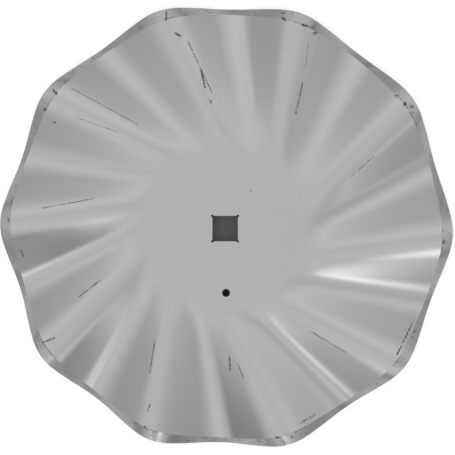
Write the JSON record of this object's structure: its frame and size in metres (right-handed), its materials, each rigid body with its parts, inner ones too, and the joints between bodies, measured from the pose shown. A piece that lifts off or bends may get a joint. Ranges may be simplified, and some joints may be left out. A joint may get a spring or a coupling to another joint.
{
  "type": "harrow disc blade",
  "caption": "Round steel tillage disc with swept, tapered flutes round a flat centre, a ground cutting rim and a square axle hole.",
  "frame": {"origin": "on the axle's axis, at mid-thickness of the flat centre", "axes": "+Z along the axle, out of the bevelled front side; -Y towards the hanging hole"},
  "size_m": [0.5596, 0.5582, 0.0469],
  "materials": {
    "silver_paint": "semi-gloss silver-grey metallic paint with light scuffs"
  },
  "bodies": {
    "root": {"disc_blade": "silver_paint"}
  },
  "joints": []
}
